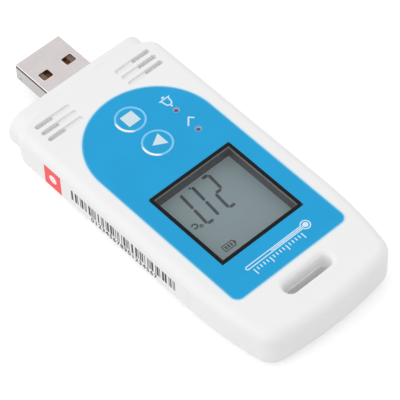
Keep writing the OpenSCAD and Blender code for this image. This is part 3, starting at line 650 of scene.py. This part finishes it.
loops = []
foot = display_y - 9.45
for which, x in (("2", -3.75), ("1", -1.05), ("7", 2.1)):
    loops += digit(which, x, foot)
loops.append(disc((1.35, foot + 0.1), 0.26, 14))
plate("lcd_digits", loops, above(GLASS), segment_ink, "case")

degree, letter_at = (5.95, display_y - 0.75), (7.05, display_y - 1.55)
letter = arc(letter_at, 0.75, 30, 330, 18) + arc(letter_at, 0.41, 330, 30, 18)
plate("lcd_unit", [disc(degree, 0.43, 20), disc(degree, 0.18, 20), letter], above(GLASS),
      segment_ink, "case")

x, y = 5.35, display_y + 6.65
loops = [round_box((x, y), 2.9, 1.7, 0.1), round_box((x, y), 2.48, 1.28, 0.05),
         round_box((x - 1.62, y), 0.3, 0.8, 0.05)]
loops += [round_box((x + k * 0.68, y), 0.42, 0.86, 0.03) for k in (-1, 0, 1)]
plate("lcd_battery", loops, above(GLASS), segment_ink, "case")

# Side label: red patch, plain bars and digits
low, high = corners("side_label")
side = Matrix.Translation((high.x, 0, 0)) @ Matrix(
    ((0, 0, 1, 0), (1, 0, 0, 0), (0, 1, 0, 0), (0, 0, 0, 1)))
PATCH_WIDTH = 5.1
patch_end = low.y + PATCH_WIDTH
patch = [(low.y, low.z), (patch_end, low.z), (patch_end, high.z), (low.y, high.z)]
spot = disc((low.y + PATCH_WIDTH / 2, (low.z + high.z) / 2), 1.15, 28)
plate("label_patch", [patch, spot], side, red_ink, "case")
BAR_WIDTHS, BAR_GAPS = (0.2, 0.2, 0.38, 0.56), (0.22, 0.22, 0.4, 0.62)
draw = random.Random(11)
loops = []
y, end = low.y + 8.4, low.y + 40.4
bottom, top = low.z + 2, low.z + 4.95
while y < end:
    width = draw.choice(BAR_WIDTHS)
    loops.append([(y, bottom), (y + width, bottom), (y + width, top), (y, top)])
    y += width + draw.choice(BAR_GAPS)
plate("label_bars", loops, side, black_ink, "case")
words = side @ Matrix.Translation(((low.y + high.y) / 2 + 2.6, low.z + 0.95, 0))
lettering("label_digits", "012345678901234567", 1.8, words, black_ink, "case", 0.045)

# The plug's windows: a dark ring of painted shade at each hole's edge, and a raised rim round it
# drawn lighter than the plug as a painted highlight
low, high = corners("usb_shell")
nickel = metal("rim_nickel_highlight", linear(240, 228, 224), 0.2, edge=0)
painted_hole_shade = ink("hole_edge_shade", linear(84, 58, 44))
CUT_X, CUT_FROM_TIP = 3.15, 6.5
for name, sx in (("left", -1), ("right", 1)):
    window_at = (sx * CUT_X, low.y + CUT_FROM_TIP)
    # Painted shade: a dark ring round the hole
    plate("plug_cut_" + name,
          [round_box(window_at, 2.62, 2.22, 0.4), round_box(window_at, 2.35, 1.95, 0.3)],
          above(high.z), painted_hole_shade, "case")
    # Painted highlight: the rim is lighter than the plug's nickel
    bead("plug_rim_" + name, round_box(window_at, 2.76, 2.36, 0.46), high.z, 0.16, 0.03,
         nickel, "case")

# White dust gauze in the open halves of the vents
x, y = middle_of(*corners("climate_sensor"))
VENT_PITCH, GAUZE_DEPTH = 2.1, 1.3
gauze = plastic("vent_gauze", linear(238, 238, 236), 0.8, grain=0.12, depth=0.002, edge=0)
for name, sx in (("left", -1), ("right", 1)):
    loops = [round_box((sx * x, y + k * VENT_PITCH), 4.7, 1.2, 0.59) for k in (-1, 0, 1)]
    plate("vent_gauze_" + name, loops, above(FRONT - GAUZE_DEPTH), gauze, "case")

# Pointer on the lid
grey_ink = ink("ink_grey", PRINT_GREY)
low, high = corners("battery_lid")
lid_y = middle_of(low, high)[1]
pointer_foot, pointer_tip = 9.4 - lid_y, 11 - lid_y
pointer = [(-0.8, pointer_foot), (0.8, pointer_foot), (0, pointer_tip)]
plate("lid_pointer", [round_corners(pointer, 0.15)], below(low.z), grey_ink, "battery_lid")

# Floor, light and camera

FLOOR_SIZE, FLOOR_BELOW, FLOOR_GLOW = 6, 0.00005, 0.36
SKY, DIMMER_BEHIND = 0.93, 0.13
AIM = Vector((0, 0.004, 0.005))
CAMERA_AT, CAMERA_TURN = (0.19689, 0.23782, 0.40064), (37.487, 1.499, 137.774)
SENSOR, LENS = 36, 221.7


def seen_share(tree):
    """1 for rays from the camera, a mirror or glass, and 0 for rays that light the object."""
    path = tree.nodes.new("ShaderNodeLightPath")
    share = path.outputs["Is Camera Ray"]
    for name in ("Is Glossy Ray", "Is Transmission Ray"):
        larger = tree.nodes.new("ShaderNodeMath")
        larger.operation = "MAXIMUM"
        tree.links.new(share, larger.inputs[0])
        tree.links.new(path.outputs[name], larger.inputs[1])
        share = larger.outputs[0]
    return share


bpy.ops.mesh.primitive_plane_add(size=FLOOR_SIZE, location=(0, 0, -FLOOR_BELOW))
floor = bpy.context.object
floor.name = "floor"
paper = Finish("floor_paper")
paper.set(Base_Color=paper.mottled(linear(230, 230, 230), 60, 0.01), Roughness=0.9)
paper.shader.inputs["Specular IOR Level"].default_value = 0.1
paper.shader.inputs["Emission Color"].default_value = (1, 1, 1, 1)
glow = paper.calc("MULTIPLY", seen_share(paper.tree), FLOOR_GLOW)
paper.set(Emission_Strength=glow)
floor.data.materials.append(paper.material)

world = bpy.data.worlds.new("studio")
scene.world = world
world.use_nodes = True
tree = world.node_tree
sky = tree.nodes["Background"]
sky.inputs["Color"].default_value = (1, 1, 1, 1)
# The light is a little weaker from +Y
direction = tree.nodes.new("ShaderNodeSeparateXYZ")
tree.links.new(tree.nodes.new("ShaderNodeTexCoord").outputs["Generated"], direction.inputs[0])
dimmer = tree.nodes.new("ShaderNodeMapRange")
dimmer.interpolation_type = "SMOOTHSTEP"
tree.links.new(direction.outputs["Y"], dimmer.inputs["Value"])
dimmer.inputs["To Min"].default_value = SKY
dimmer.inputs["To Max"].default_value = SKY * (1 - DIMMER_BEHIND)
# What the camera or a mirror sees of it is white
level = tree.nodes.new("ShaderNodeMapRange")
tree.links.new(seen_share(tree), level.inputs["Value"])
tree.links.new(dimmer.outputs[0], level.inputs["To Min"])
level.inputs["To Max"].default_value = 1
tree.links.new(level.outputs[0], sky.inputs["Strength"])


def softbox(name, towards, distance, width, height, power):
    """Soft lamp that shines on the object from a direction."""
    lamp = bpy.data.lights.new(name, "AREA")
    lamp.shape = "RECTANGLE"
    lamp.size, lamp.size_y = width, height
    lamp.energy = power
    obj = bpy.data.objects.new(name, lamp)
    scene.collection.objects.link(obj)
    away = Vector(towards).normalized()
    obj.location = AIM + away * distance
    obj.rotation_euler = away.to_track_quat("Z", "Y").to_euler()


softbox("key", (0.75, -0.35, 0.6), 0.9, 0.7, 0.7, 1.45)

camera = bpy.data.objects.new("camera", bpy.data.cameras.new("camera"))
scene.collection.objects.link(camera)
camera.data.sensor_width = SENSOR
camera.data.lens = LENS
camera.data.clip_start = 0.01
camera.data.clip_end = 20
camera.location = CAMERA_AT
camera.rotation_euler = [math.radians(angle) for angle in CAMERA_TURN]
scene.camera = camera
scene.view_settings.view_transform = "Standard"
